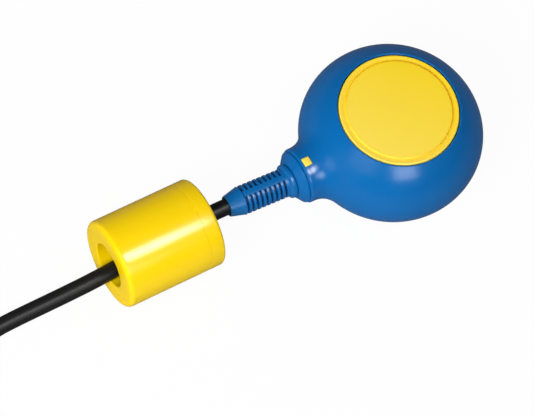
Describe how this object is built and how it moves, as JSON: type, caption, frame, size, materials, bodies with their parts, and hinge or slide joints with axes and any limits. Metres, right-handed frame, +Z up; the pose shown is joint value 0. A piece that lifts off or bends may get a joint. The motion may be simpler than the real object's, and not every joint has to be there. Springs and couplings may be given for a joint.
{
  "type": "cable float switch",
  "caption": "Tilting float switch: a flattened blue float with round yellow faces and a ribbed cable boot, a yellow ring weight on its cable, and the spare cable coiled.",
  "frame": {"origin": "centre of the float's lower round face, which lies on the surface", "axes": "+Z up through both round faces, +X from the weight towards the float, so the cable leaves along -X"},
  "size_m": [0.404, 0.1585, 0.057],
  "materials": {
    "shell": "satin",
    "boot": "satin",
    "capsule": "satin",
    "weight": "satin",
    "seal": "matte",
    "carrier": "satin",
    "switch_case": "satin",
    "plunger": "satin",
    "steel": "polished",
    "brass": "satin",
    "ferrule": "satin",
    "iron": "matte",
    "jacket": "satin",
    "core_blue": "gloss",
    "core_brown": "gloss",
    "core_black": "gloss"
  },
  "bodies": {
    "housing": {"float_shell_upper": "shell", "float_shell_lower": "shell", "capsule_body": "capsule", "capsule_lid": "capsule", "capsule_seal": "seal", "gland_seal": "seal", "gland_washer": "carrier", "gland_collar": "shell", "cable_boot": "boot", "switch_carrier": "carrier", "channel_plug": "carrier", "carrier_screws": "steel", "switch_case": "switch_case", "switch_cover": "switch_case", "lever_pin": "steel", "tag_closed": "brass", "tag_common": "brass", "tag_open": "brass", "wire_blue": "core_blue", "wire_brown": "core_brown", "wire_black": "core_black", "cable_inner": "jacket", "cable_run": "jacket", "cable_coil": "jacket", "cable_tail": "jacket", "core_blue": "core_blue", "core_brown": "core_brown", "core_black": "core_black", "ferrule_blue": "ferrule", "ferrule_brown": "ferrule", "ferrule_black": "ferrule", "weight_case": "weight", "weight_cap": "weight", "weight_ballast": "iron", "cable_lock": "carrier"},
    "ball": {"steel_ball": "steel"},
    "lever": {"switch_lever": "steel"},
    "plunger": {"switch_plunger": "plunger"}
  },
  "joints": [
    {"name": "ball_roll", "type": "slide", "parent": "housing", "child": "ball", "axis": [-1, 0, 0], "range_m": [0, 0.014]},
    {"name": "lever_swing", "type": "hinge", "parent": "housing", "child": "lever", "pos_m": [-0.00435, 0, 0.0371], "axis": [0, 1, 0], "range_deg": [0, 10.05]},
    {"name": "plunger_press", "type": "slide", "parent": "housing", "child": "plunger", "axis": [-1, 0, 0], "range_m": [0, 0.00071]}
  ],
  "couplings": [
    {"joint": "lever_swing", "follows": "ball_roll", "rad_per_m": 12.466},
    {"joint": "plunger_press", "follows": "ball_roll", "ratio": 0.05}
  ]
}
